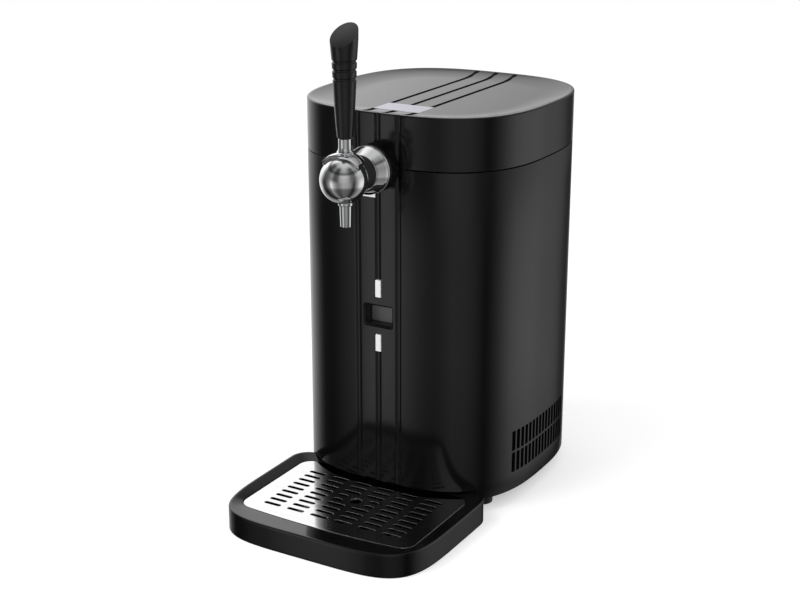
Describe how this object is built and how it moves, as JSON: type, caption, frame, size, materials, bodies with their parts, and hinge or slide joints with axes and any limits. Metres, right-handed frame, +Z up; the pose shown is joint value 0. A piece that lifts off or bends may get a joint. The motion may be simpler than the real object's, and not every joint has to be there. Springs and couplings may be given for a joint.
{
  "type": "mini keg beer dispenser",
  "caption": "Countertop cooler for a small beer keg: tall squircle body with hinged lid, chrome ball tap with upright lever, display recess with keys, and a drip tray with a slotted plate.",
  "frame": {"origin": "middle of the footprint of body and drip tray, on the table", "axes": "+Z up, tap and tray towards -Y, +X to the right seen from behind the appliance's front"},
  "size_m": [0.242, 0.4004, 0.4904],
  "materials": {
    "body_plastic": "satin",
    "gloss_black": "gloss",
    "inner_plastic": "matte",
    "handle_black": "satin",
    "liner_grey": "satin",
    "key_white": "gloss",
    "screen_grey": "gloss",
    "ceramic_white": "matte",
    "foam": "matte",
    "rubber": "matte",
    "chrome": "polished",
    "steel": "satin",
    "mirror_steel": "polished",
    "aluminium": "satin",
    "plate_silver": "satin",
    "board": "satin"
  },
  "bodies": {
    "base": {"casing": "body_plastic", "base_pan": "inner_plastic", "rubber_feet": "rubber", "foot_screws": "steel", "base_screws": "steel", "insulation": "foam", "keg_well": "aluminium", "deck_ring": "inner_plastic", "deck_screws": "steel", "hinge_lower_leaf": "body_plastic", "hinge_pin": "steel", "hinge_lower_screws": "steel", "tap_escutcheon": "gloss_black", "tap_bracket": "steel", "tap_nut": "steel", "tap_shank": "chrome", "tap_collar": "chrome", "collar_tab": "chrome", "tap_seals": "rubber", "tap_ball": "chrome", "lever_pin": "steel", "spout": "chrome", "line_connector": "inner_plastic", "display_bezel": "inner_plastic", "display_lens": "screen_grey", "display_module": "screen_grey", "control_board": "board", "board_screws": "steel", "key_switches": "inner_plastic", "cold_plate": "aluminium", "peltier_module": "ceramic_white", "heatsink": "aluminium", "heatsink_screws": "steel", "fan_frame": "inner_plastic", "fan_shaft": "steel", "fan_screws": "steel", "power_board": "board", "power_inlet": "inner_plastic"},
    "lid": {"lid_shell": "body_plastic", "lid_foam": "foam", "lid_liner": "liner_grey", "lid_gasket": "rubber", "name_plate": "plate_silver", "hinge_upper_leaf": "body_plastic", "hinge_upper_screws": "steel"},
    "lever": {"tap_lever": "chrome", "lever_screw": "steel", "handle_stud": "steel", "tap_handle": "handle_black"},
    "plunger": {"valve_plunger": "steel"},
    "tray": {"drip_tray": "gloss_black"},
    "grid": {"drip_grid": "mirror_steel"},
    "up_key": {"key_up": "key_white"},
    "down_key": {"key_down": "key_white"},
    "fan": {"fan_rotor": "inner_plastic"}
  },
  "joints": [
    {"name": "lid_hinge", "type": "hinge", "parent": "base", "child": "lid", "pos_m": [0, 0.19625, 0.35], "axis": [-1, 0, 0], "range_deg": [0, 100]},
    {"name": "tap_lever", "type": "hinge", "parent": "base", "child": "lever", "pos_m": [0, -0.12125, 0.35], "axis": [1, 0, 0], "range_deg": [0, 25]},
    {"name": "plunger_slide", "type": "slide", "parent": "base", "child": "plunger", "axis": [0, 1, 0], "range_m": [0, 0.0032]},
    {"name": "tray_slide", "type": "slide", "parent": "base", "child": "tray", "axis": [0, -1, 0], "range_m": [0, 0.06]},
    {"name": "grid_lift", "type": "slide", "parent": "tray", "child": "grid", "axis": [0, 0, 1], "range_m": [0, 0.003]},
    {"name": "key_up_press", "type": "slide", "parent": "base", "child": "up_key", "axis": [0, 1, 0], "range_m": [0, 0.001], "stiffness_N_per_m": 400},
    {"name": "key_down_press", "type": "slide", "parent": "base", "child": "down_key", "axis": [0, 1, 0], "range_m": [0, 0.001], "stiffness_N_per_m": 400},
    {"name": "fan_spin", "type": "hinge", "parent": "base", "child": "fan", "pos_m": [0, 0.07475, 0.03], "axis": [0, 0, 1], "continuous": true}
  ],
  "couplings": [
    {"joint": "plunger_slide", "follows": "tap_lever", "m_per_rad": 0.007}
  ]
}
